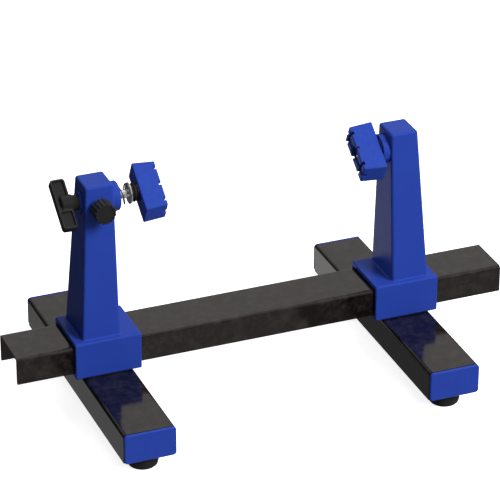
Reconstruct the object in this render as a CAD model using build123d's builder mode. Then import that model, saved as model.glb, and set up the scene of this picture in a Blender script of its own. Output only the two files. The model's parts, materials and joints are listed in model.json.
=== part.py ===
from build123d import *
from math import cos, radians, sin
import os

# Rotating circuit-board holder: two towers slide on a steel rail, and each tower carries a
# jaw that turns about one common spindle axis. Millimetres. +X along the rail, +Y to the
# back, +Z up, and z = 0 is the table under the middle of the rail.

# --- fits: gaps on the radius or between faces ----------------------------------------------
press_gap = 0.02
thread_gap = 0.05
turning_gap = 0.06
seat_gap = 0.1
hole_gap = 0.2
loose_gap = 0.3
tolerance = 0.01

# --- rail, feet and their fixings ---------------------------------------------------------
rail_length = 300.0
rail_width = 31.0
rail_bottom = 31.0
rail_top = 47.6
bar_length = 168.0
bar_width = 30.6
bar_bottom = 9.8
bar_top = 27.8
sheet = 1.5
sheet_bend = 2.0
cap_neck = 0.6
cap_plate = 1.4
foot_inset = 14.0
foot_radius = 9.0
bar_screw_y = 9.0
bar_screw_radius = 1.9
bar_screw_head_radius = 3.6
bar_screw_head_height = 2.4
bar_screw_length = 10.5
pad_screw_radius = 1.75
pad_screw_head_radius = 3.4
pad_screw_head_height = 2.2
pad_screw_length = 18.0
pad_recess_radius = 4.6
pad_recess_depth = 4.4
pad_washer = 0.9

# --- towers -------------------------------------------------------------------------------
left_x = -96.35
right_x = 88.3
sleeve_length = 39.5
sleeve_depth = 36.4
sleeve_top = 50.7
sleeve_floor_top = 30.9
sleeve_round = 1.4
rail_side_gap = 0.15
rail_top_gap = 0.1
tower_top = 143.0
tower_inner_offset = 8.2
tower_base_width = 22.7
tower_top_width = 16.6
tower_base_depth = 30.6
tower_top_depth = 18.6
tower_round = 1.5
tower_wall = 2.8
cavity_top = 119.5
lock_block_width = 15.0
lock_block_depth = 25.4
lock_block_top = 38.0
lock_hole_radius = 2.9
nut_flats = 8.0
nut_height = 4.0
through = 40.0

# --- spindle axis ---------------------------------------------------------------------------
axis_z = 130.8
jaw_tilt = 36.8
boss_radius = 8.6
bore_radius = 4.5
bushing_radius = 4.48
bushing_bore = 2.54
flange_radius = 6.0
flange_pocket_radius = 6.1
left_flange = 1.0
right_flange = 0.7
right_flange_proud = 0.2
bushing_inset = 0.6
spindle_radius = 2.5
spindle_flat = 2.0
left_boss_face = -83.3
spring_pocket_radius = 6.4
spring_pocket_bottom = -88.3
knob_seat_radius = 6.4
knob_seat_height = 1.0
right_boss_face = 75.9
right_recess_bottom = 90.6
right_recess_radius = 6.3
thrust_washer_face = -76.6
thrust_washer = 0.55
thrust_washer_radius = 6.2
friction_washer = 0.9
friction_washer_radius = 5.4

# --- jaws -----------------------------------------------------------------------------------
left_jaw_back = -71.5
left_jaw_front = -58.0
right_jaw_front = 61.0
right_jaw_back = 75.5
jaw_back_length = 30.4
jaw_front_length = 28.2
jaw_thickness = 12.0
jaw_end_slant = 10.5
jaw_offset = -0.8
jaw_round = 0.8
slot_width = 1.8
slot_depth = 2.6
slot_lead = 1.1
notch_pitch = 10.0
notch_width = 2.0
notch_depth = 1.8
collar_radius = 5.4
collar_face = -76.0
jaw_screw_seat = 4.6
jaw_screw_web = 2.0
jaw_screw_counterbore = 3.2
jaw_screw_radius = 1.5
jaw_screw_length = 9.0
jaw_screw_head_radius = 2.9
jaw_screw_head_height = 2.2
right_head_seat = 5.0
right_head_height = 2.8
right_head_radius = 4.2
axle_nut_height = 4.6
axle_end = 0.8

# --- knobs ----------------------------------------------------------------------------------
lock_screw_radius = 2.5
lock_pad_height = 3.0
lock_pad_radius = 4.6
lock_tip_length = 1.5
lock_knob_bottom = 6.2
lock_knob_height = 10.0
lock_knob_hex = 8.0
lock_knob_hex_height = 3.5
lock_knob_floor = 3.0
wing_x = -115.0
wing_width = 8.8
wing_reach = 15.6
wing_offset = -0.6
wing_thickness = 4.8
wing_hub_radius = 5.1
wing_hub_end = -116.9
wing_neck_radius = 4.4
wing_neck_start = -109.6
wing_insert_radius = 3.6
wing_insert_end = -115.6
clamp_offset = -0.5
clamp_x = left_x + clamp_offset
clamp_insert_radius = 3.2
clamp_insert_start = 5.2
clamp_pad_radius = 2.0
clamp_pad_tip = 2.62
clamp_stud_radius = 2.0
clamp_stud_tip = 4.4
clamp_knob_back = 12.4
clamp_knob_front = 20.6
clamp_knob_radius = 6.3
clamp_knob_skin = 1.8

# --- derived places -------------------------------------------------------------------
tilt_along = (0, cos(radians(jaw_tilt)), sin(radians(jaw_tilt)))
tilt_normal = (0, -sin(radians(jaw_tilt)), cos(radians(jaw_tilt)))
slant_tilt = radians(jaw_tilt - jaw_end_slant)
slant_normal = (0, -sin(slant_tilt), cos(slant_tilt))
inner_face_left = left_x + tower_inner_offset
inner_face_right = right_x - tower_inner_offset
outer_slope = (tower_base_width - tower_top_width) / (tower_top - sleeve_top)
front_slope = (tower_base_depth - tower_top_depth) / 2 / (tower_top - sleeve_top)
axis_drop = tower_top - axis_z
outer_at_axis = tower_top_width + outer_slope * axis_drop
outer_face_left = inner_face_left - outer_at_axis
outer_face_right = inner_face_right + outer_at_axis
front_at_axis = tower_top_depth / 2 + front_slope * axis_drop
rail_web_underside = rail_top - sheet
bar_web_underside = bar_top - sheet
foot_y = bar_length / 2 + cap_neck + cap_plate - foot_inset
left_seat_face = outer_face_left - knob_seat_height
left_bushing_end = outer_face_left - bushing_inset
lock_pad_top = rail_web_underside - seat_gap
lock_pad_bottom = lock_pad_top - lock_pad_height
lock_knob_top = lock_knob_bottom + lock_knob_height
lock_hex_bottom = lock_knob_bottom + lock_knob_floor
spindle_tip = left_jaw_front - jaw_screw_seat - jaw_screw_web
wing_neck_end = left_seat_face - hole_gap
axle_nut_start = right_recess_bottom + friction_washer + seat_gap


def save(part, label):
    """Name a finished piece and write it to its own file."""
    part.label = label
    export_step(part, f"parts/{label}.step")


def axis_plane(x):
    """A plane square to the spindle axis, at x along it, with its own x along +Y."""
    return Plane(origin=(x, 0, axis_z), x_dir=(0, 1, 0), z_dir=(1, 0, 0))


def tilted_plane(x):
    """A plane through the spindle axis: its own x along +X, its own y along the jaws."""
    return Plane(origin=(x, 0, axis_z), x_dir=(1, 0, 0), z_dir=tilt_normal)


def channel(plane, width, height, length):
    """An open-bottomed bent steel channel, centred on the plane, which cuts it across."""
    with BuildPart() as bent:
        with BuildSketch(plane) as profile:
            Rectangle(width, height)
            fillet(profile.vertices().group_by(Axis.Y)[-1], sheet_bend)
            with Locations((0, -height / 2 - sheet)):
                RectangleRounded(
                    width - 2 * sheet, 2 * height, sheet_bend - sheet, mode=Mode.SUBTRACT
                )
        extrude(amount=length / 2, both=True)
    return bent.part


# --- rail -----------------------------------------------------------------------------
def make_rail():
    height = rail_top - rail_bottom
    middle = Plane.YZ.offset(0)
    middle.origin = (0, 0, rail_bottom + height / 2)
    return channel(middle, rail_width, height, rail_length)


# --- foot bar, its end caps and its rubber feet ------------------------------------------
def make_foot_bar(x):
    height = bar_top - bar_bottom
    middle = Plane.XZ.offset(0)
    middle.origin = (x, 0, bar_bottom + height / 2)
    with BuildPart() as bar:
        add(channel(middle, bar_width, height, bar_length))
        with BuildSketch(Plane.XY.offset(bar_top)):
            with Locations((x, -bar_screw_y), (x, bar_screw_y)):
                Circle(bar_screw_radius + loose_gap)
            with Locations((x, 0)):
                Circle(lock_hole_radius)
        extrude(amount=-3 * sheet, mode=Mode.SUBTRACT)
    return bar.part


def make_end_cap(x, end):
    """Plug with a face plate. end is -1 for the front end of the bar, +1 for the back."""
    plug_gap = 0.12
    plug_depth = 24.0
    plug_wall = 2.0
    plug_round = 1.0
    plate_chamfer = 0.5
    neck_inset = 0.5
    screw_post_radius = 4.8
    screw_hole_depth = 13.0
    plate_height = bar_top - bar_bottom
    plug_width = bar_width - 2 * sheet - 2 * plug_gap
    plug_low = bar_bottom + plug_gap
    plug_height = bar_web_underside - plug_gap - plug_low
    plug_middle = (x, plug_low + plug_height / 2)
    plate_middle = (x, (bar_bottom + bar_top) / 2)
    bar_end = Plane.XZ.offset(-end * bar_length / 2)
    plate_start = Plane.XZ.offset(-end * (bar_length / 2 + cap_neck))
    hollow_start = Plane.XZ.offset(-end * (bar_length / 2 - plug_wall))
    with BuildPart() as cap:
        with BuildSketch(plate_start):
            with Locations(plate_middle):
                RectangleRounded(bar_width, plate_height, sheet_bend)
        extrude(amount=-end * cap_plate)
        outer_face = cap.faces().sort_by(Axis.Y)[0 if end < 0 else -1]
        chamfer(outer_face.edges(), plate_chamfer)
        with BuildSketch(bar_end):
            with Locations(plate_middle):
                RectangleRounded(
                    bar_width - 2 * neck_inset, plate_height - 2 * neck_inset, sheet_bend - neck_inset
                )
        extrude(amount=-end * cap_neck)
        with BuildSketch(bar_end):
            with Locations(plug_middle):
                RectangleRounded(plug_width, plug_height, plug_round)
        extrude(amount=end * plug_depth)
        with BuildSketch(hollow_start):
            with Locations(plug_middle):
                Rectangle(plug_width - 2 * plug_wall, plug_height - 2 * plug_wall)
        extrude(amount=end * plug_depth, mode=Mode.SUBTRACT)
        with BuildSketch(Plane.XY.offset(plug_low)):
            with Locations((x, end * foot_y)):
                Circle(screw_post_radius)
        extrude(amount=plug_height)
        with BuildSketch(Plane.XY.offset(plug_low)):
            with Locations((x, end * foot_y)):
                Circle(pad_screw_radius + thread_gap)
        extrude(amount=screw_hole_depth, mode=Mode.SUBTRACT)
    return cap.part


def make_rubber_foot(x, end):
    upright = Plane(origin=(x, end * foot_y, 0), x_dir=(1, 0, 0), z_dir=(0, -1, 0))
    waist_radius = foot_radius - 0.9
    base_radius = foot_radius - 0.6
    bulge_height = 3.2
    bulge_round = 1.8
    hole_radius = pad_screw_radius + hole_gap
    with BuildPart() as foot:
        with BuildSketch(upright) as section:
            with BuildLine():
                Polyline(
                    (hole_radius, bar_bottom),
                    (hole_radius, pad_recess_depth),
                    (pad_recess_radius, pad_recess_depth),
                    (pad_recess_radius, 0),
                    (base_radius, 0),
                    (foot_radius, bulge_height),
                    (waist_radius, bar_bottom),
                    close=True,
                )
            make_face()
            outer_corner = section.vertices().group_by(Axis.Y)[0].sort_by(Axis.X)[-1]
            fillet(outer_corner, bulge_round)
        revolve(axis=Axis((x, end * foot_y, 0), (0, 0, 1)))
    return foot.part


def make_foot_washers(x):
    with BuildPart() as washers:
        with BuildSketch(Plane.XY.offset(pad_recess_depth - pad_washer)):
            with Locations((x, -foot_y), (x, foot_y)):
                Circle(pad_recess_radius - loose_gap)
                Circle(pad_screw_radius + hole_gap, mode=Mode.SUBTRACT)
        extrude(amount=pad_washer)
    return washers.part


def make_screws(places, seat_z, shank_radius, head_radius, head_height, shank_length):
    """Pan-head screws driven upwards: the heads' seats are at seat_z, with cross recesses."""
    head_round = 0.4 * head_height
    tip_chamfer = 0.4 * shank_radius
    cross_length = 1.1 * head_radius
    cross_width = 0.25 * head_radius
    cross_depth = 0.6 * head_height
    with BuildPart() as screws:
        with BuildSketch(Plane.XY.offset(seat_z)):
            with Locations(*places):
                Circle(head_radius)
        extrude(amount=-head_height)
        fillet(screws.edges().group_by(Axis.Z)[0], head_round)
        with BuildSketch(Plane.XY.offset(seat_z)):
            with Locations(*places):
                Circle(shank_radius)
        extrude(amount=shank_length)
        chamfer(screws.edges().group_by(Axis.Z)[-1], tip_chamfer)
        with BuildSketch(Plane.XY.offset(seat_z - head_height)):
            with Locations(*places):
                Rectangle(cross_length, cross_width)
                Rectangle(cross_width, cross_length)
        extrude(amount=cross_depth, mode=Mode.SUBTRACT)
    return screws.part


# --- tower: sleeve on the rail, hollow upright and bearing block -----------------------------
def make_tower(side, x):
    """side is -1 for the left tower and +1 for the right one, whose inner faces meet."""
    end_round = 0.8
    joint_round = 1.2
    boss_round = 0.8
    mouth_chamfer = 0.7
    cavity_overlap = 0.5
    inward = -side
    inner = x + inward * tower_inner_offset
    base_x = inner - inward * tower_base_width / 2
    top_x = inner - inward * tower_top_width / 2
    sleeve_height = sleeve_top - bar_top
    tunnel_bottom = sleeve_floor_top
    tunnel_top = rail_top + rail_top_gap
    tunnel_width = rail_width + 2 * rail_side_gap
    boss_face = left_boss_face if side < 0 else right_boss_face
    outer = outer_face_left if side < 0 else outer_face_right
    cavity_width = tower_base_width - 2 * tower_wall
    cavity_depth = tower_base_depth - 2 * tower_wall
    cavity_rise = (cavity_top - sleeve_top) / (tower_top - sleeve_top)
    cavity_top_width = cavity_width - (tower_base_width - tower_top_width) * cavity_rise
    cavity_top_depth = cavity_depth - (tower_base_depth - tower_top_depth) * cavity_rise
    cavity_inner = inner - inward * tower_wall
    with BuildPart() as tower:
        with BuildSketch(Plane.XY.offset(sleeve_top)):
            with Locations((base_x, 0)):
                Rectangle(tower_base_width, tower_base_depth)
        with BuildSketch(Plane.XY.offset(tower_top)):
            with Locations((top_x, 0)):
                Rectangle(tower_top_width, tower_top_depth)
        loft()
        upright_edges = tower.edges().group_by(Axis.Z)[1:]
        fillet([e for level in upright_edges for e in level], tower_round)
        with BuildSketch(Plane.YZ.offset(x)):
            with Locations((0, bar_top + sleeve_height / 2)):
                RectangleRounded(sleeve_depth, sleeve_height, sleeve_round)
        extrude(amount=sleeve_length / 2, both=True)
        ends = tower.faces().filter_by(Axis.X).sort_by(Axis.X)
        fillet(ends[0].edges() + ends[-1].edges(), end_round)
        joint_edges = tower.edges().filter_by(lambda e: on_sleeve_top(e, base_x))
        fillet(joint_edges, joint_round)
        with BuildSketch(Plane.YZ.offset(x)):
            with Locations((0, (tunnel_bottom + tunnel_top) / 2)):
                Rectangle(tunnel_width, tunnel_top - tunnel_bottom)
        extrude(amount=sleeve_length, both=True, mode=Mode.SUBTRACT)
        mouth = tower.faces().filter_by(Axis.X).sort_by(Axis.X)
        chamfer(mouth[0].inner_wires().edges() + mouth[-1].inner_wires().edges(), mouth_chamfer)
        with BuildSketch(Plane.XY.offset(tunnel_top - cavity_overlap)):
            with Locations((cavity_inner - inward * cavity_width / 2, 0)):
                Rectangle(cavity_width, cavity_depth)
        with BuildSketch(Plane.XY.offset(cavity_top)):
            with Locations((cavity_inner - inward * cavity_top_width / 2, 0)):
                Rectangle(cavity_top_width, cavity_top_depth)
        loft(mode=Mode.SUBTRACT)
        with BuildSketch(Plane.XY.offset(tunnel_bottom)):
            with Locations((x, 0)):
                Rectangle(lock_block_width, lock_block_depth)
        extrude(amount=lock_block_top - tunnel_bottom)
        with BuildSketch(Plane.XY.offset(bar_top)):
            with Locations((x, -bar_screw_y), (x, bar_screw_y)):
                Circle(bar_screw_radius + thread_gap)
            with Locations((x, 0)):
                Circle(lock_hole_radius)
        extrude(amount=lock_block_top - bar_top, mode=Mode.SUBTRACT)
        with BuildSketch(Plane.XY.offset(lock_block_top - nut_height)):
            with Locations((x, 0)):
                RegularPolygon((nut_flats + hole_gap) / 2, 6, major_radius=False)
        extrude(amount=nut_height, mode=Mode.SUBTRACT)
        with BuildSketch(axis_plane(inner - inward)):
            Circle(boss_radius)
        extrude(amount=boss_face - inner + inward)
        fillet(boss_rim(tower, boss_face), boss_round)
        with BuildSketch(axis_plane(boss_face)):
            Circle(bore_radius)
        extrude(amount=-inward * through, mode=Mode.SUBTRACT)
        if side < 0:
            with BuildSketch(axis_plane(outer + knob_seat_height)):
                Circle(knob_seat_radius)
                Circle(bore_radius, mode=Mode.SUBTRACT)
            extrude(amount=-2 * knob_seat_height)
            with BuildSketch(axis_plane(boss_face)):
                Circle(spring_pocket_radius)
            extrude(amount=spring_pocket_bottom - boss_face, mode=Mode.SUBTRACT)
            with BuildSketch(Plane.XZ.offset(clamp_insert_start)):
                with Locations((clamp_x, axis_z)):
                    Circle(clamp_insert_radius + press_gap)
            extrude(amount=through, mode=Mode.SUBTRACT)
            with BuildSketch(Plane.XZ):
                with Locations((clamp_x, axis_z)):
                    Circle(clamp_pad_radius + turning_gap)
            extrude(amount=through, mode=Mode.SUBTRACT)
        else:
            with BuildSketch(axis_plane(boss_face)):
                Circle(flange_pocket_radius)
            extrude(amount=right_flange - right_flange_proud, mode=Mode.SUBTRACT)
            with BuildSketch(axis_plane(right_recess_bottom)):
                Circle(right_recess_radius)
            extrude(amount=through, mode=Mode.SUBTRACT)
    return tower.part


def on_sleeve_top(edge, base_x):
    """True for the edges where the upright stands on the top of the sleeve."""
    at = edge.center()
    level = abs(at.Z - sleeve_top) < tolerance
    along = abs(at.X - base_x) < tower_base_width / 2 + seat_gap
    across = abs(at.Y) < tower_base_depth / 2 + seat_gap
    return level and along and across


def boss_rim(tower, face_x):
    """The outer rim of the round boss on the tower's inner face."""
    circles = tower.edges().filter_by(GeomType.CIRCLE)
    rims = circles.filter_by(lambda e: abs(e.radius - boss_radius) < tolerance)
    return rims.filter_by(lambda e: abs(e.center().X - face_x) < tolerance)


# --- rail locks under the feet -------------------------------------------------------------
def make_captive_nut(x):
    rim_chamfer = 0.3
    with BuildPart() as nut:
        with BuildSketch(Plane.XY.offset(lock_block_top - nut_height)):
            with Locations((x, 0)):
                RegularPolygon(nut_flats / 2, 6, major_radius=False)
                Circle(lock_screw_radius + turning_gap, mode=Mode.SUBTRACT)
        extrude(amount=nut_height)
        rims = nut.edges().filter_by(GeomType.CIRCLE)
        chamfer(rims, rim_chamfer)
    return nut.part


def make_lock_pad(x):
    rim_chamfer = 0.4
    bore_gap = 0.15
    with BuildPart() as pad:
        with BuildSketch(Plane.XY.offset(lock_pad_bottom)):
            with Locations((x, 0)):
                Circle(lock_pad_radius)
        extrude(amount=lock_pad_height)
        chamfer(pad.edges(), rim_chamfer)
        with BuildSketch(Plane.XY.offset(lock_pad_bottom)):
            with Locations((x, 0)):
                Circle(lock_screw_radius + bore_gap)
        extrude(amount=lock_tip_length + seat_gap, mode=Mode.SUBTRACT)
    return pad.part


def make_lock_screw(x):
    """Screw with a hexagonal head held in the knob, and a slimmer tip inside the pad."""
    shoulder_drop = 0.6
    tip_radius = lock_screw_radius - 0.2
    tip_chamfer = 0.5
    shoulder_z = lock_pad_bottom - shoulder_drop
    with BuildPart() as screw:
        with BuildSketch(Plane.XY.offset(lock_hex_bottom)):
            with Locations((x, 0)):
                RegularPolygon(lock_knob_hex / 2, 6, major_radius=False)
        extrude(amount=lock_knob_hex_height)
        with BuildSketch(Plane.XY.offset(lock_hex_bottom)):
            with Locations((x, 0)):
                Circle(lock_screw_radius)
        extrude(amount=shoulder_z - lock_hex_bottom)
        with BuildSketch(Plane.XY.offset(shoulder_z)):
            with Locations((x, 0)):
                Circle(tip_radius)
        extrude(amount=lock_tip_length + shoulder_drop)
        chamfer(screw.edges().group_by(Axis.Z)[-1], tip_chamfer)
    return screw.part


def make_lock_knob(x):
    """Fluted hand knob on the lower end of the lock screw, inside the foot channel."""
    knob_radius = 10.4
    flutes = 10
    flute_radius = 2.4
    neck_radius = 5.2
    neck_height = 5.6
    rim_round = 0.7
    with BuildPart() as knob:
        with BuildSketch(Plane.XY.offset(lock_knob_bottom)):
            with Locations((x, 0)):
                Circle(knob_radius)
                with PolarLocations(knob_radius + flute_radius / 2, flutes):
                    Circle(flute_radius, mode=Mode.SUBTRACT)
        extrude(amount=lock_knob_height)
        rims = knob.edges().group_by(Axis.Z)
        fillet(rims[0] + rims[-1], rim_round)
        with BuildSketch(Plane.XY.offset(lock_knob_top)):
            with Locations((x, 0)):
                Circle(neck_radius)
        extrude(amount=neck_height)
        with BuildSketch(Plane.XY.offset(lock_hex_bottom)):
            with Locations((x, 0)):
                RegularPolygon(lock_knob_hex / 2 + press_gap, 6, major_radius=False)
        extrude(amount=lock_knob_hex_height, mode=Mode.SUBTRACT)
        with BuildSketch(Plane.XY.offset(lock_hex_bottom)):
            with Locations((x, 0)):
                Circle(lock_screw_radius + press_gap)
        extrude(amount=lock_knob_height + neck_height, mode=Mode.SUBTRACT)
    return knob.part


# --- bushings, washers and spring on the spindle axis -------------------------------------
def make_bushing(flange_face, flange_thickness, tube_end):
    """Flanged plain bearing. The flange starts at flange_face, on the jaw's side."""
    inward = 1 if tube_end < flange_face else -1
    with BuildPart() as bushing:
        with BuildSketch(axis_plane(flange_face)):
            Circle(flange_radius)
        extrude(amount=-inward * flange_thickness)
        with BuildSketch(axis_plane(flange_face)):
            Circle(bushing_radius)
        extrude(amount=tube_end - flange_face)
        with BuildSketch(axis_plane(flange_face)):
            Circle(bushing_bore)
        extrude(amount=tube_end - flange_face, mode=Mode.SUBTRACT)
        if inward > 0:
            with BuildSketch(Plane.XZ):
                with Locations((clamp_x, axis_z)):
                    Circle(clamp_pad_radius + turning_gap)
            extrude(amount=2 * bushing_radius, mode=Mode.SUBTRACT)
    return bushing.part


def make_ring(x, thickness, outer_radius, inner_radius):
    """A flat washer from x towards +X."""
    with BuildPart() as ring:
        with BuildSketch(axis_plane(x)):
            Circle(outer_radius)
            Circle(inner_radius, mode=Mode.SUBTRACT)
        extrude(amount=thickness)
    return ring.part


def make_spring():
    """Open coil from the bushing's flange to the thrust washer."""
    wire_radius = 0.36
    coil_radius = 5.7
    turns = 2.0
    wire_clearance = 0.03
    end_gap = wire_radius + wire_clearance
    start = spring_pocket_bottom + left_flange + end_gap
    rise = thrust_washer_face - end_gap - start
    with BuildPart() as spring:
        with BuildLine() as path:
            Helix(
                pitch=rise / turns,
                height=rise,
                radius=coil_radius,
                center=(start, 0, axis_z),
                direction=(1, 0, 0),
            )
        with BuildSketch(Plane(origin=path.line @ 0, z_dir=path.line % 0)):
            Circle(wire_radius)
        sweep(is_frenet=True)
    return spring.part


# --- jaws -------------------------------------------------------------------------------
def make_jaw(back, front):
    """Wedge-ended block with a board slot. back is its tower side, front its board side."""
    into = 1 if back > front else -1
    half_back = jaw_back_length / 2
    half_front = jaw_front_length / 2
    reach = jaw_thickness / 2 / cos(radians(jaw_end_slant))
    slot_plane = Plane(origin=(front, 0, axis_z), x_dir=(1, 0, 0), z_dir=tilt_along)
    with BuildPart() as jaw:
        with BuildSketch(tilted_plane(0)):
            with BuildLine():
                Polyline(
                    (back, jaw_offset - half_back),
                    (back, jaw_offset + half_back),
                    (front, jaw_offset + half_front),
                    (front, jaw_offset - half_front),
                    close=True,
                )
            make_face()
        extrude(amount=reach, dir=slant_normal, both=True)
        fillet(jaw.edges(), jaw_round)
        with BuildSketch(slot_plane):
            with BuildLine():
                Polyline(
                    (-into, -slot_width),
                    (0, -slot_width),
                    (into * slot_lead, -slot_width / 2),
                    (into * slot_depth, -slot_width / 2),
                    (into * slot_depth, slot_width / 2),
                    (into * slot_lead, slot_width / 2),
                    (0, slot_width),
                    (-into, slot_width),
                    close=True,
                )
            make_face()
        extrude(amount=jaw_back_length, both=True, mode=Mode.SUBTRACT)
        with BuildSketch(tilted_plane(0)):
            with Locations(*[(front, n * notch_pitch) for n in (-1, 0, 1)]):
                Rectangle(2 * notch_depth, notch_width)
        extrude(amount=jaw_thickness, both=True, mode=Mode.SUBTRACT)
    return jaw.part


def make_left_jaw():
    """The sprung jaw: bored for its screw, with a socket that fits the spindle's flat."""
    socket_plane = Plane(origin=(spindle_tip, 0, axis_z), x_dir=tilt_along, z_dir=(1, 0, 0))
    flat_middle = spindle_flat + spindle_radius / 2 + press_gap
    with BuildPart() as jaw:
        add(make_jaw(left_jaw_back, left_jaw_front))
        with BuildSketch(axis_plane(left_jaw_front)):
            Circle(jaw_screw_counterbore)
        extrude(amount=-jaw_screw_seat, mode=Mode.SUBTRACT)
        with BuildSketch(axis_plane(left_jaw_front)):
            Circle(jaw_screw_radius + hole_gap)
        extrude(amount=-through, mode=Mode.SUBTRACT)
        with BuildSketch(socket_plane):
            Circle(spindle_radius + press_gap)
            with Locations((flat_middle, 0)):
                Rectangle(spindle_radius, 2 * spindle_radius, mode=Mode.SUBTRACT)
        extrude(amount=-through, mode=Mode.SUBTRACT)
    return jaw.part


def make_right_jaw():
    """The fixed-end jaw: bored and counterbored for the right axle."""
    with BuildPart() as jaw:
        add(make_jaw(right_jaw_back, right_jaw_front))
        with BuildSketch(axis_plane(right_jaw_front)):
            Circle(right_head_radius + loose_gap)
        extrude(amount=right_head_seat, mode=Mode.SUBTRACT)
        with BuildSketch(axis_plane(right_jaw_front)):
            Circle(spindle_radius + press_gap)
        extrude(amount=through, mode=Mode.SUBTRACT)
    return jaw.part


def make_collar():
    """Ribbed collar on the spindle, between the thrust washer and the left jaw."""
    length = left_jaw_back - collar_face
    bands = 5
    rib = length / bands
    rib_round = 0.35 * rib
    groove_depth = 0.7
    root_radius = collar_radius - groove_depth
    with BuildPart() as collar:
        with BuildSketch(axis_plane(collar_face)):
            Circle(collar_radius)
        extrude(amount=length)
        for step in (1, 3):
            with BuildSketch(axis_plane(collar_face + rib * step)):
                Circle(collar_radius + 1)
                Circle(root_radius, mode=Mode.SUBTRACT)
            extrude(amount=rib, mode=Mode.SUBTRACT)
        circles = collar.edges().filter_by(GeomType.CIRCLE)
        fillet(circles.filter_by(lambda e: abs(e.radius - collar_radius) < tolerance), rib_round)
        with BuildSketch(axis_plane(collar_face)):
            Circle(spindle_radius + press_gap)
        extrude(amount=length, mode=Mode.SUBTRACT)
    return collar.part


# --- left spindle, its screw and the wing knob -------------------------------------------
def make_spindle():
    """Round rod with a flat at the jaw's end, tapped there for the jaw's screw."""
    flat_plane = Plane(origin=(spindle_tip, 0, axis_z), x_dir=tilt_along, z_dir=(1, 0, 0))
    flat_middle = spindle_flat + spindle_radius / 2
    tapped_depth = 9.0
    end_inset = 0.6
    end_chamfer = 0.4
    with BuildPart() as spindle:
        with BuildSketch(axis_plane(spindle_tip)):
            Circle(spindle_radius)
        extrude(amount=wing_insert_end + end_inset - spindle_tip)
        chamfer(spindle.edges().filter_by(GeomType.CIRCLE), end_chamfer)
        with BuildSketch(flat_plane):
            with Locations((flat_middle, 0)):
                Rectangle(spindle_radius, 2 * spindle_radius)
        extrude(amount=left_jaw_back - loose_gap - spindle_tip, mode=Mode.SUBTRACT)
        with BuildSketch(axis_plane(spindle_tip)):
            Circle(jaw_screw_radius + thread_gap)
        extrude(amount=-tapped_depth, mode=Mode.SUBTRACT)
    return spindle.part


def make_axis_screw(seat, direction, head_radius, head_height, shank_radius, shank_length):
    """Pan-head screw on the spindle axis: the head lies on the other side of seat."""
    head_round = 0.35 * head_height
    cross_length = 1.1 * head_radius
    cross_width = 0.26 * head_radius
    cross_depth = 0.6 * head_height
    with BuildPart() as screw:
        with BuildSketch(axis_plane(seat)):
            Circle(head_radius)
        extrude(amount=-direction * head_height)
        head_face = screw.faces().filter_by(Axis.X).sort_by(Axis.X)[-1 if direction < 0 else 0]
        fillet(head_face.edges(), head_round)
        with BuildSketch(axis_plane(seat)):
            Circle(shank_radius)
        extrude(amount=direction * shank_length)
        with BuildSketch(axis_plane(seat - direction * head_height)):
            Rectangle(cross_length, cross_width)
            Rectangle(cross_width, cross_length)
        extrude(amount=direction * cross_depth, mode=Mode.SUBTRACT)
    return screw.part


def make_wing_hub():
    """Round hub of the wing knob, domed at its outer end, with a neck towards the tower."""
    dome_round = 1.1
    shoulder_round = 0.5
    with BuildPart() as hub:
        with BuildSketch(axis_plane(wing_hub_end)):
            Circle(wing_hub_radius)
        extrude(amount=wing_neck_start - wing_hub_end)
        fillet(hub.edges().group_by(Axis.X)[0], dome_round)
        fillet(hub.edges().group_by(Axis.X)[-1], shoulder_round)
        with BuildSketch(axis_plane(wing_neck_start)):
            Circle(wing_neck_radius)
        extrude(amount=wing_neck_end - wing_neck_start)
    return hub.part


def make_wing_knob():
    """Two wings with a recess in each face, joined to the hub."""
    corner_round = 1.8
    rim_round = 0.5
    pocket_depth = 1.1
    pocket_round = 0.9
    rim = 1.2
    pocket_length = wing_reach - wing_hub_radius - rim
    pocket_middle = wing_hub_radius + pocket_length / 2
    pocket_places = [(0, wing_offset - pocket_middle), (0, wing_offset + pocket_middle)]
    with BuildPart() as knob:
        with BuildSketch(tilted_plane(wing_x)):
            with Locations((0, wing_offset)):
                RectangleRounded(wing_width, 2 * wing_reach, corner_round)
        extrude(amount=wing_thickness / 2, both=True)
        rims = knob.faces().sort_by(Axis(origin=(0, 0, 0), direction=tilt_normal))
        fillet(rims[0].edges() + rims[-1].edges(), rim_round)
        for face in (-1, 1):
            skin = tilted_plane(wing_x).offset(face * wing_thickness / 2)
            with BuildSketch(skin):
                with Locations(*pocket_places):
                    RectangleRounded(wing_width - 2 * rim, pocket_length, pocket_round)
            extrude(amount=-face * pocket_depth, mode=Mode.SUBTRACT)
        add(make_wing_hub())
        with BuildSketch(axis_plane(wing_neck_end)):
            Circle(wing_insert_radius + press_gap)
        extrude(amount=wing_insert_end - wing_neck_end, mode=Mode.SUBTRACT)
    return knob.part


# --- clamp knob on the front of the left tower --------------------------------------------
def make_clamp_insert():
    with BuildPart() as insert:
        with BuildSketch(Plane.XZ.offset(clamp_insert_start)):
            with Locations((clamp_x, axis_z)):
                Circle(clamp_insert_radius)
                Circle(clamp_stud_radius + turning_gap, mode=Mode.SUBTRACT)
        extrude(amount=front_at_axis - loose_gap - clamp_insert_start)
    return insert.part


def make_clamp_pad():
    rim_chamfer = 0.25
    with BuildPart() as pad:
        with BuildSketch(Plane.XZ.offset(clamp_pad_tip)):
            with Locations((clamp_x, axis_z)):
                Circle(clamp_pad_radius)
        extrude(amount=clamp_stud_tip - seat_gap - clamp_pad_tip)
        chamfer(pad.edges(), rim_chamfer)
    return pad.part


def make_clamp_stud():
    end_chamfer = 0.4
    with BuildPart() as stud:
        with BuildSketch(Plane.XZ.offset(clamp_stud_tip)):
            with Locations((clamp_x, axis_z)):
                Circle(clamp_stud_radius - thread_gap)
        extrude(amount=clamp_knob_front - clamp_knob_skin - clamp_stud_tip)
        chamfer(stud.edges(), end_chamfer)
    return stud.part


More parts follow.
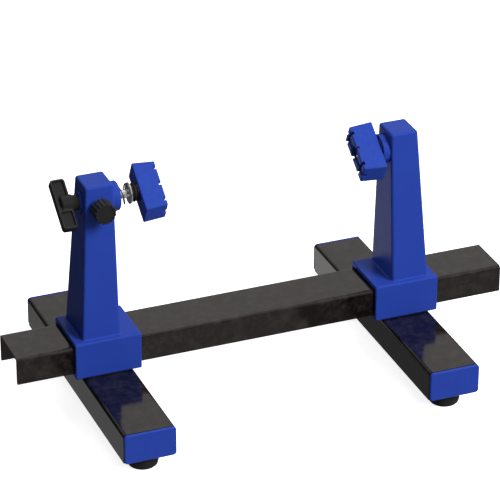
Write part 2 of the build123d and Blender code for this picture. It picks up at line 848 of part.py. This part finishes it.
def make_clamp_knob():
    """Round knurled knob with a dished face, standing on a short neck."""
    flutes = 16
    flute_radius = 0.9
    neck_radius = 4.2
    neck_gap = 0.8
    neck_start = front_at_axis + neck_gap
    rim_round = 0.6
    dish_rim = 1.2
    dish_depth = 0.4
    with BuildPart() as knob:
        with BuildSketch(Plane.XZ.offset(clamp_knob_back)):
            with Locations((clamp_x, axis_z)):
                Circle(clamp_knob_radius)
                with PolarLocations(clamp_knob_radius + flute_radius / 2, flutes):
                    Circle(flute_radius, mode=Mode.SUBTRACT)
        extrude(amount=clamp_knob_front - clamp_knob_back)
        fillet(knob.edges().group_by(Axis.Y)[0], rim_round)
        with BuildSketch(Plane.XZ.offset(clamp_knob_front)):
            with Locations((clamp_x, axis_z)):
                Circle(clamp_knob_radius - dish_rim)
        extrude(amount=-dish_depth, mode=Mode.SUBTRACT)
        with BuildSketch(Plane.XZ.offset(neck_start)):
            with Locations((clamp_x, axis_z)):
                Circle(neck_radius)
        extrude(amount=clamp_knob_back - neck_start)
        with BuildSketch(Plane.XZ):
            with Locations((clamp_x, axis_z)):
                Circle(clamp_stud_radius - thread_gap + press_gap)
        extrude(amount=clamp_knob_front - clamp_knob_skin, mode=Mode.SUBTRACT)
    return knob.part


# --- right axle, friction washer and lock nut ---------------------------------------------
def make_axle_nut():
    """Lock nut: a hexagon with a round collar that holds its nylon ring."""
    hex_height = 0.7 * axle_nut_height
    collar_inset = 0.3
    collar_chamfer = 0.4
    with BuildPart() as nut:
        with BuildSketch(axis_plane(axle_nut_start)):
            RegularPolygon(nut_flats / 2, 6, major_radius=False)
        extrude(amount=hex_height)
        with BuildSketch(axis_plane(axle_nut_start + hex_height)):
            Circle(nut_flats / 2 - collar_inset)
        extrude(amount=axle_nut_height - hex_height)
        chamfer(nut.edges().group_by(Axis.X)[-1], collar_chamfer)
        with BuildSketch(axis_plane(axle_nut_start)):
            Circle(spindle_radius + press_gap)
        extrude(amount=axle_nut_height, mode=Mode.SUBTRACT)
    return nut.part


# --- all pieces ---------------------------------------------------------------------------
os.makedirs("parts", exist_ok=True)

save(make_rail(), "rail")

for side, name, x in ((-1, "left", left_x), (1, "right", right_x)):
    save(make_tower(side, x), f"{name}_tower")
    save(make_foot_bar(x), f"{name}_foot_bar")
    for end, where in ((-1, "front"), (1, "back")):
        save(make_end_cap(x, end), f"{name}_{where}_end_cap")
        save(make_rubber_foot(x, end), f"{name}_{where}_rubber_foot")
    save(make_foot_washers(x), f"{name}_foot_washers")
    foot_places = ((x, -foot_y), (x, foot_y))
    pad_seat = pad_recess_depth - pad_washer
    foot_head = (pad_screw_head_radius, pad_screw_head_height)
    foot_screws = make_screws(foot_places, pad_seat, pad_screw_radius, *foot_head, pad_screw_length)
    save(foot_screws, f"{name}_foot_screws")
    bar_places = ((x, -bar_screw_y), (x, bar_screw_y))
    bar_head = (bar_screw_head_radius, bar_screw_head_height)
    bar_screws = make_screws(bar_places, bar_web_underside, bar_screw_radius, *bar_head, bar_screw_length)
    save(bar_screws, f"{name}_bar_screws")
    save(make_captive_nut(x), f"{name}_captive_nut")
    save(make_lock_pad(x), f"{name}_lock_pad")
    save(make_lock_screw(x), f"{name}_lock_screw")
    save(make_lock_knob(x), f"{name}_lock_knob")

flange_seat = spring_pocket_bottom + left_flange
save(make_bushing(flange_seat, left_flange, left_bushing_end), "left_bushing")
save(make_spring(), "left_spring")
washer_bore = spindle_radius + turning_gap
washer = make_ring(thrust_washer_face, thrust_washer, thrust_washer_radius, washer_bore)
save(washer, "thrust_washer")
save(make_collar(), "spindle_collar")
save(make_spindle(), "left_spindle")
save(make_left_jaw(), "left_jaw")
left_screw_seat = left_jaw_front - jaw_screw_seat
jaw_head = (jaw_screw_head_radius, jaw_screw_head_height)
left_screw = make_axis_screw(left_screw_seat, -1, *jaw_head, jaw_screw_radius, jaw_screw_length)
save(left_screw, "left_jaw_screw")
save(make_wing_knob(), "wing_knob")
insert_length = wing_neck_end - wing_insert_end - hole_gap
insert_bore = spindle_radius + press_gap
save(make_ring(wing_insert_end, insert_length, wing_insert_radius, insert_bore), "wing_knob_insert")
save(make_clamp_insert(), "clamp_insert")
save(make_clamp_pad(), "clamp_pad")
save(make_clamp_stud(), "clamp_stud")
save(make_clamp_knob(), "clamp_knob")

flange_start = right_boss_face - right_flange_proud
save(make_bushing(flange_start, right_flange, right_recess_bottom - seat_gap), "right_bushing")
save(make_right_jaw(), "right_jaw")
axle_seat = right_jaw_front + right_head_seat
axle_length = axle_nut_start + axle_nut_height + axle_end - axle_seat
right_axle = make_axis_screw(
    axle_seat, 1, right_head_radius, right_head_height, spindle_radius, axle_length
)
save(right_axle, "right_axle")
drag = make_ring(right_recess_bottom, friction_washer, friction_washer_radius, washer_bore)
save(drag, "friction_washer")
save(make_axle_nut(), "axle_nut")
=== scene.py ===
"""Looks for a rotating circuit-board holder: finishes for every piece, the coil spring, and the stage."""

import json
from math import cos, pi, radians, sin

import bpy
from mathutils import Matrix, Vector


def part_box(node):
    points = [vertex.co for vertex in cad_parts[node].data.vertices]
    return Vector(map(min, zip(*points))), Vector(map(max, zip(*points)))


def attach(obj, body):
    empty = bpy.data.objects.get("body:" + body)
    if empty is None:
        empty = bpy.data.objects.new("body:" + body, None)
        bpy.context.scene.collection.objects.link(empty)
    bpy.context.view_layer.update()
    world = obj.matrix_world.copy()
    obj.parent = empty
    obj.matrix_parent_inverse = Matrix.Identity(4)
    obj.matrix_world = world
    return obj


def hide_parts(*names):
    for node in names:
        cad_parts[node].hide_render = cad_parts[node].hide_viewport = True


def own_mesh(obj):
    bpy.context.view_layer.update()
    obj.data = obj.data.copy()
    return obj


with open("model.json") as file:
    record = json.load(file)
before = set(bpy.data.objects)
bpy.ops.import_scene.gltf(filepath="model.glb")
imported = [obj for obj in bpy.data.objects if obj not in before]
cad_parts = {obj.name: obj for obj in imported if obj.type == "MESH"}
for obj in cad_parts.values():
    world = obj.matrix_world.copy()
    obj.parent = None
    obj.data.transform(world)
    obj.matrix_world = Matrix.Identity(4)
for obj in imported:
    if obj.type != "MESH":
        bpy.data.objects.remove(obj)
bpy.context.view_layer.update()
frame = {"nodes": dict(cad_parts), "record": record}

MM = 0.001
WHITE = (1.0, 1.0, 1.0, 1.0)
BLACK = (0.0, 0.0, 0.0)

# The sockets of a Mix node that carry colours share their names with others, so they go by number.
MIX_FIRST_COLOR, MIX_SECOND_COLOR, MIX_RESULT_COLOR = 6, 7, 2

# Pointiness a little above a flat face's 0.5, and that of a sharp convex edge.
FLAT, SHARP = 0.52, 0.6


# --- node helpers -----------------------------------------------------------------------
class Finish:
    """A Principled material under construction, with texture coordinates in the row frame."""

    def __init__(self, name, color, roughness, metallic=0.0, specular=0.5):
        self.material = bpy.data.materials.new(name)
        self.material.use_nodes = True
        self.tree = self.material.node_tree
        self.shader = self.tree.nodes["Principled BSDF"]
        self.shader.inputs["Base Color"].default_value = (*color, 1.0)
        self.shader.inputs["Roughness"].default_value = roughness
        self.shader.inputs["Metallic"].default_value = metallic
        self.shader.inputs["Specular IOR Level"].default_value = specular
        self.place = self.tree.nodes.new("ShaderNodeTexCoord").outputs["Object"]

    def node(self, kind, **settings):
        """A new node of a kind, with its settings made."""
        made = self.tree.nodes.new(kind)
        for key, value in settings.items():
            setattr(made, key, value)
        return made

    def link(self, source, target):
        """Joins an output socket to an input socket."""
        self.tree.links.new(source, target)

    def stretched(self, scale):
        """Coordinates multiplied by scale, a number for each axis, for drawn-out textures."""
        mapping = self.node("ShaderNodeMapping")
        mapping.inputs["Scale"].default_value = scale
        self.link(self.place, mapping.inputs["Vector"])
        return mapping.outputs["Vector"]

    def noise(self, size, detail=3.0, rough=0.55, stretch=None):
        """Noise whose features are about size metres across, from 0 to 1."""
        made = self.node("ShaderNodeTexNoise")
        made.inputs["Scale"].default_value = 1.0 / size
        made.inputs["Detail"].default_value = detail
        made.inputs["Roughness"].default_value = rough
        source = self.place if stretch is None else self.stretched(stretch)
        self.link(source, made.inputs["Vector"])
        return made.outputs["Fac"]

    def remap(self, value, low, high, start=0.0, end=1.0):
        """low where value is start, high where it is end, and in between in proportion."""
        made = self.node("ShaderNodeMapRange")
        made.inputs["From Min"].default_value = start
        made.inputs["From Max"].default_value = end
        made.inputs["To Min"].default_value = low
        made.inputs["To Max"].default_value = high
        self.link(value, made.inputs["Value"])
        return made.outputs["Result"]

    def math(self, operation, first, second):
        """The sum or product of two sockets."""
        made = self.node("ShaderNodeMath", operation=operation)
        for socket, value in zip(made.inputs, (first, second)):
            self.link(value, socket)
        return made.outputs["Value"]

    def mix(self, factor, first, second):
        """A colour between first and second, which are colours or sockets."""
        made = self.node("ShaderNodeMix", data_type="RGBA")
        self.link(factor, made.inputs["Factor"])
        for number, value in ((MIX_FIRST_COLOR, first), (MIX_SECOND_COLOR, second)):
            if isinstance(value, tuple):
                made.inputs[number].default_value = (*value, 1.0)
            else:
                self.link(value, made.inputs[number])
        return made.outputs[MIX_RESULT_COLOR]

    def edges(self):
        """1 on sharp convex edges, 0 on flats."""
        pointiness = self.node("ShaderNodeNewGeometry").outputs["Pointiness"]
        return self.remap(pointiness, low=0.0, high=1.0, start=FLAT, end=SHARP)

    def worn_edges(self, marks):
        """Wear on the sharp edges only, as strong as the socket marks says; on the blue plastic it is also a
        painted edge highlight.
        """
        return self.math("MULTIPLY", self.edges(), marks)

    def bumps(self, *layers):
        """Chains bump layers, each (height socket, depth in metres)."""
        normal = None
        for height, depth in layers:
            made = self.node("ShaderNodeBump")
            made.inputs["Strength"].default_value = 1.0
            made.inputs["Distance"].default_value = depth
            self.link(height, made.inputs["Height"])
            if normal is not None:
                self.link(normal, made.inputs["Normal"])
            normal = made.outputs["Normal"]
        self.link(normal, self.shader.inputs["Normal"])

    def color(self, socket):
        """Takes the colour from a socket."""
        self.link(socket, self.shader.inputs["Base Color"])

    def rough(self, socket):
        """Takes the roughness from a socket."""
        self.link(socket, self.shader.inputs["Roughness"])

    def glow(self, brightness):
        """Lets the surface give off white light."""
        self.shader.inputs["Emission Color"].default_value = WHITE
        self.shader.inputs["Emission Strength"].default_value = brightness


# --- finishes ---------------------------------------------------------------------------
def blue_plastic():
    """Satin moulded plastic with a fine spark-eroded grain, handling marks, and paler sharp edges that are
    partly edge wear and partly a painted edge highlight.
    """
    # rubbed is the paler blue of the sharp edges: partly edge wear, partly a painted highlight along the
    # edges.
    base, shade, rubbed = (0.019, 0.051, 0.335), (0.018, 0.047, 0.318), (0.030, 0.070, 0.380)
    made = Finish("blue_plastic", base, roughness=0.36, specular=0.12)
    cloud = made.noise(size=28 * MM, detail=4.0)
    grain = made.noise(size=0.35 * MM, detail=2.0)
    scuff = made.noise(size=3 * MM, detail=6.0, rough=0.7, stretch=(1.0, 1.0, 0.25))
    body = made.mix(made.remap(cloud, low=0.0, high=1.0, start=0.3, end=0.7), base, shade)
    # Paler sharp edges: part edge wear, part painted edge highlight.
    wear = made.worn_edges(made.remap(scuff, low=0.0, high=0.55, start=0.35, end=0.75))
    made.color(made.mix(wear, body, rubbed))
    handled = made.remap(scuff, low=0.33, high=0.38)
    made.rough(made.math("ADD", handled, made.remap(cloud, low=-0.01, high=0.02)))
    made.bumps((grain, 0.012 * MM), (scuff, 0.004 * MM))
    return made.material


def black_paint():
    """Semi-gloss black paint on rolled steel sheet, with a slight orange peel."""
    base, warm, rubbed = (0.0035, 0.0022, 0.0020), (0.0055, 0.0034, 0.0030), (0.045, 0.04, 0.036)
    warm_gloss = (1.0, 0.92, 0.88, 1.0)
    made = Finish("black_paint", base, roughness=0.10, specular=0.72)
    made.shader.inputs["Specular Tint"].default_value = warm_gloss
    cloud = made.noise(size=35 * MM, detail=3.0)
    peel = made.noise(size=1.3 * MM, detail=2.0)
    dust = made.noise(size=0.25 * MM, detail=2.0)
    scuff = made.noise(size=6 * MM, detail=7.0, rough=0.72)
    body = made.mix(made.remap(cloud, low=0.0, high=1.0, start=0.3, end=0.7), base, warm)
    wear = made.worn_edges(made.remap(scuff, low=0.0, high=0.5, start=0.45, end=0.75))
    made.color(made.mix(wear, body, rubbed))
    handled = made.remap(scuff, low=0.10, high=0.13)
    made.rough(made.math("ADD", handled, made.remap(cloud, low=-0.005, high=0.005)))
    made.bumps((peel, 0.003 * MM), (dust, 0.001 * MM))
    return made.material


def black_rubber():
    """Matt moulded rubber, a little dusty."""
    base, clean, dusty = (0.016, 0.016, 0.017), (0.012, 0.012, 0.013), (0.032, 0.031, 0.03)
    made = Finish("black_rubber", base, roughness=0.7, specular=0.35)
    dust = made.noise(size=4 * MM, detail=6.0, rough=0.7)
    grain = made.noise(size=0.5 * MM, detail=3.0)
    made.color(made.mix(made.remap(dust, low=0.0, high=0.7, start=0.35, end=0.75), clean, dusty))
    made.rough(made.remap(dust, low=0.62, high=0.82))
    made.bumps((grain, 0.03 * MM))
    return made.material


def black_plastic():
    """Glass-filled nylon of the hand knobs: satin, finely pebbled, paler on the rubbed edges."""
    base, rubbed = (0.015, 0.014, 0.014), (0.07, 0.069, 0.068)
    made = Finish("black_plastic", base, roughness=0.42, specular=0.22)
    pebble = made.noise(size=0.45 * MM, detail=3.0)
    cloud = made.noise(size=7 * MM, detail=4.0)
    made.color(made.mix(made.worn_edges(made.remap(cloud, low=0.2, high=0.8)), base, rubbed))
    made.rough(made.remap(cloud, low=0.34, high=0.5))
    made.bumps((pebble, 0.02 * MM))
    return made.material


def turned_metal(name, base, dark, roughness):
    """Metal with fine tool lines square to the X axis, and stains that are darker and duller."""
    across_x = (1.0, 0.02, 0.02)
    made = Finish(name, base, roughness, metallic=1.0)
    lines = made.noise(size=0.16 * MM, detail=4.0, rough=0.6, stretch=across_x)
    stain = made.noise(size=5 * MM, detail=5.0, rough=0.65)
    made.color(made.mix(made.remap(stain, low=0.0, high=1.0, start=0.35, end=0.75), base, dark))
    dull = made.remap(stain, low=roughness, high=roughness + 0.1)
    made.rough(made.math("ADD", made.remap(lines, low=-0.05, high=0.08), dull))
    made.bumps((lines, 0.008 * MM))
    return made.material


def nylon():
    """Natural nylon of the screw-tip pads."""
    base, pale, yellowed = (0.72, 0.69, 0.6), (0.74, 0.71, 0.63), (0.66, 0.62, 0.52)
    made = Finish("nylon", base, roughness=0.45)
    made.shader.inputs["Subsurface Weight"].default_value = 0.1
    cloud = made.noise(size=3 * MM, detail=4.0)
    made.color(made.mix(cloud, pale, yellowed))
    made.rough(made.remap(cloud, low=0.4, high=0.55))
    made.bumps((made.noise(size=0.4 * MM), 0.01 * MM))
    return made.material


finishes = {
    "blue_plastic": blue_plastic(),
    "black_paint": black_paint(),
    "black_rubber": black_rubber(),
    "black_plastic": black_plastic(),
    "bright_steel": turned_metal("bright_steel", (0.93, 0.92, 0.91), (0.80, 0.79, 0.78), roughness=0.16),
    "zinc_steel": turned_metal("zinc_steel", (0.66, 0.68, 0.70), (0.50, 0.51, 0.50), roughness=0.32),
    "spring_steel": turned_metal("spring_steel", (0.34, 0.34, 0.35), (0.22, 0.22, 0.23), roughness=0.25),
    "brass": turned_metal("brass", (0.80, 0.60, 0.28), (0.62, 0.44, 0.18), roughness=0.28),
    "nylon": nylon(),
}


def finish_cad_nodes():
    """Every CAD node keeps its mesh and takes the finish of its own slot."""
    slot_of = {s["node"]: s["material_slot"] for s in frame["record"]["subparts"]}
    for name, node in frame["nodes"].items():
        node.data.materials.clear()
        node.data.materials.append(finishes[slot_of[name]])


# --- spring -----------------------------------------------------------------------------
def round_wire(name, path, radius):
    """A closed round tube along path, a list of points close together."""
    roundness = 3
    curve = bpy.data.curves.new(name + "_path", "CURVE")
    curve.dimensions = "3D"
    curve.bevel_depth = radius
    curve.bevel_resolution = roundness
    curve.use_fill_caps = True
    line = curve.splines.new("POLY")
    line.points.add(len(path) - 1)
    for point, at in zip(line.points, path):
        point.co = (*at, 1.0)
    carrier = bpy.data.objects.new(name + "_path", curve)
    bpy.context.scene.collection.objects.link(carrier)
    graph = bpy.context.evaluated_depsgraph_get()
    mesh = bpy.data.meshes.new_from_object(carrier.evaluated_get(graph))
    bpy.data.objects.remove(carrier)
    for face in mesh.polygons:
        face.use_smooth = True
    wire = bpy.data.objects.new(name, mesh)
    bpy.context.scene.collection.objects.link(wire)
    return wire


def coil_spring():
    """Compression spring with a closed half turn at each end, on the spindle's axis."""
    wire_radius = 0.36 * MM
    closed_turns, open_turns = 0.5, 1.18
    closed_pitch = 2.1 * wire_radius
    first_angle = radians(106)  # from +Y towards +Z
    steps_per_turn = 48

    low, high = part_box("left_spring")
    axis = Vector((0.0, (low.y + high.y) / 2, (low.z + high.z) / 2))
    coil_radius = (high.y - low.y) / 2 - wire_radius
    turns = 2 * closed_turns + open_turns
    closed_rise = closed_turns * closed_pitch
    start, end = low.x + wire_radius, high.x - wire_radius
    open_rise = end - start - 2 * closed_rise
    steps = int(turns * steps_per_turn)
    path = []
    for step in range(steps + 1):
        turn = turns * step / steps
        in_first = min(turn, closed_turns) / closed_turns
        in_open = min(max(turn - closed_turns, 0.0), open_turns) / open_turns
        in_last = max(turn - closed_turns - open_turns, 0.0) / closed_turns
        x = start + closed_rise * (in_first + in_last) + open_rise * in_open
        angle = 2 * pi * turn + first_angle
        path.append((x, axis.y + coil_radius * cos(angle), axis.z + coil_radius * sin(angle)))

    spring = round_wire("coil_spring", path, wire_radius)
    spring.data.materials.append(finishes["spring_steel"])
    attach(spring, "left_support")
    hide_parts("left_spring")
    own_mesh(spring)


# --- stage ------------------------------------------------------------------------------
def glowing_card(name, low, high, color, roughness, brightness):
    """A flat rectangle at table height, from the corner low to the corner high, that glows white."""
    mesh = bpy.data.meshes.new(name)
    corners = [(low[0], low[1], 0), (high[0], low[1], 0), (high[0], high[1], 0), (low[0], high[1], 0)]
    mesh.from_pydata(corners, [], [(0, 1, 2, 3)])
    card = bpy.data.objects.new(name, mesh)
    bpy.context.scene.collection.objects.link(card)
    made = Finish(name, color, roughness, specular=0.0)
    made.glow(brightness)
    card.data.materials.append(made.material)
    return card


def floor():
    """A plain white floor under the object. It lights nothing, so the dark sides stay dark."""
    reach = 6.0
    off_white = (0.93, 0.93, 0.93)
    plane = glowing_card("floor", (-reach, -reach), (reach, reach), off_white, roughness=0.9, brightness=0.85)
    plane.visible_diffuse = False
    plane.visible_glossy = False


def reflector(name, low, high, brightness):
    """A pale card just under the table's top, which only the mirroring sides of the object see."""
    card = glowing_card(name, low, high, BLACK, roughness=1.0, brightness=brightness)
    card.location.z = -1.0 * MM
    card.visible_camera = False
    card.visible_diffuse = False
    card.visible_shadow = False


def lamp(name, light, at, target):
    """An object that holds light at a place and turns it towards target."""
    holder = bpy.data.objects.new(name, light)
    holder.location = at
    holder.rotation_euler = (Vector(target) - Vector(at)).to_track_quat("-Z", "Y").to_euler()
    bpy.context.scene.collection.objects.link(holder)
    return holder


def area_light(name, at, target, side, power, mirrored=True):
    """A soft square panel light. One that isn't mirrored adds no highlights."""
    light = bpy.data.lights.new(name, "AREA")
    light.shape = "RECTANGLE"
    light.size = side
    light.size_y = side
    light.energy = power
    lamp(name, light, at, target).visible_glossy = mirrored


def spot_light(name, at, target, cone, power):
    """A narrow soft-edged light. cone is its full angle in degrees."""
    light = bpy.data.lights.new(name, "SPOT")
    light.spot_size = radians(cone)
    light.spot_blend = 0.7
    light.shadow_soft_size = 80 * MM
    light.energy = power
    lamp(name, light, at, target)


def sky():
    """Studio surroundings, which the object mirrors and is lit by.

    Above the horizon they are bright, but dim at the left. Below it they are brightest behind on the
    right and almost dark behind on the left.
    """
    world = bpy.data.worlds.new("studio")
    world.use_nodes = True
    tree = world.node_tree
    background = tree.nodes["Background"]
    place = tree.nodes.new("ShaderNodeTexCoord")
    direction = tree.nodes.new("ShaderNodeSeparateXYZ")
    tree.links.new(place.outputs["Generated"], direction.inputs["Vector"])

    def ramp(axis, start, end, low, high):
        """low up to start along an axis, high from end on. high may be a socket."""
        made = tree.nodes.new("ShaderNodeMapRange")
        made.interpolation_type = "SMOOTHSTEP"
        made.inputs["From Min"].default_value = start
        made.inputs["From Max"].default_value = end
        made.inputs["To Min"].default_value = low
        if isinstance(high, float):
            made.inputs["To Max"].default_value = high
        else:
            tree.links.new(high, made.inputs["To Max"])
        tree.links.new(direction.outputs[axis], made.inputs["Value"])
        return made.outputs["Result"]

    def join(operation, first, second):
        """The sum or product of two sockets."""
        made = tree.nodes.new("ShaderNodeMath")
        made.operation = operation
        tree.links.new(first, made.inputs[0])
        tree.links.new(second, made.inputs[1])
        return made.outputs[0]

    above = ramp("Z", start=-0.05, end=0.35, low=0.0, high=0.56)
    away_from_left = ramp("X", start=-0.75, end=0.2, low=0.08, high=1.0)
    below = ramp("Z", start=-0.2, end=0.1, low=1.0, high=0.0)
    behind = ramp("X", start=-0.25, end=0.3, low=0.05, high=0.6)
    front_or_behind = ramp("Y", start=-0.2, end=0.6, low=0.31, high=behind)
    upper = join("MULTIPLY", above, away_from_left)
    lower = join("MULTIPLY", below, front_or_behind)
    tree.links.new(join("ADD", upper, lower), background.inputs["Strength"])
    background.inputs["Color"].default_value = WHITE
    bpy.context.scene.world = world


def camera():
    """The product view: a long lens from the front left, well above the table."""
    target = Vector((-3.31, 0.0, 80.6)) * MM
    azimuth, elevation, distance = radians(-21.715), radians(27.795), 1748.3 * MM
    focal_length, film_width = 219.15, 36.0
    back = Vector((sin(azimuth) * cos(elevation), -cos(azimuth) * cos(elevation), sin(elevation)))
    lens = bpy.data.cameras.new("camera")
    lens.lens = focal_length
    lens.sensor_width = film_width
    eye = bpy.data.objects.new("camera", lens)
    eye.location = target + distance * back
    eye.rotation_euler = (-back).to_track_quat("-Z", "Y").to_euler()
    bpy.context.scene.collection.objects.link(eye)
    bpy.context.scene.camera = eye


def lights():
    """A front key without highlights, its small glint, a weak top light and a fill on the right tower."""
    front_right, holder_middle = (0.9, -1.5, 1.5), (0, 0, 0.06)
    overhead, table_middle = (0.1, 0.5, 2.0), (0, 0, 0.0)
    back_left, right_tower = (-0.5, 0.5, 0.4), (0.09, 0.0, 0.095)
    area_light("key", front_right, holder_middle, side=1.0, power=55.0, mirrored=False)
    area_light("glint", front_right, holder_middle, side=0.7, power=6.0)
    area_light("top", overhead, table_middle, side=1.6, power=4.0)
    spot_light("fill", back_left, right_tower, cone=15.0, power=6.0)


camera()
finish_cad_nodes()
coil_spring()
floor()
sky()
reflector("tower_card", low=(-0.06, 0.05), high=(0.11, 0.45), brightness=0.8)
reflector("foot_card", low=(-0.135, -0.12), high=(-0.10, 0.15), brightness=0.25)
reflector("right_foot_card", low=(0.05, -0.12), high=(0.085, 0.05), brightness=0.12)
lights()
bpy.context.scene.view_settings.view_transform = "Standard"
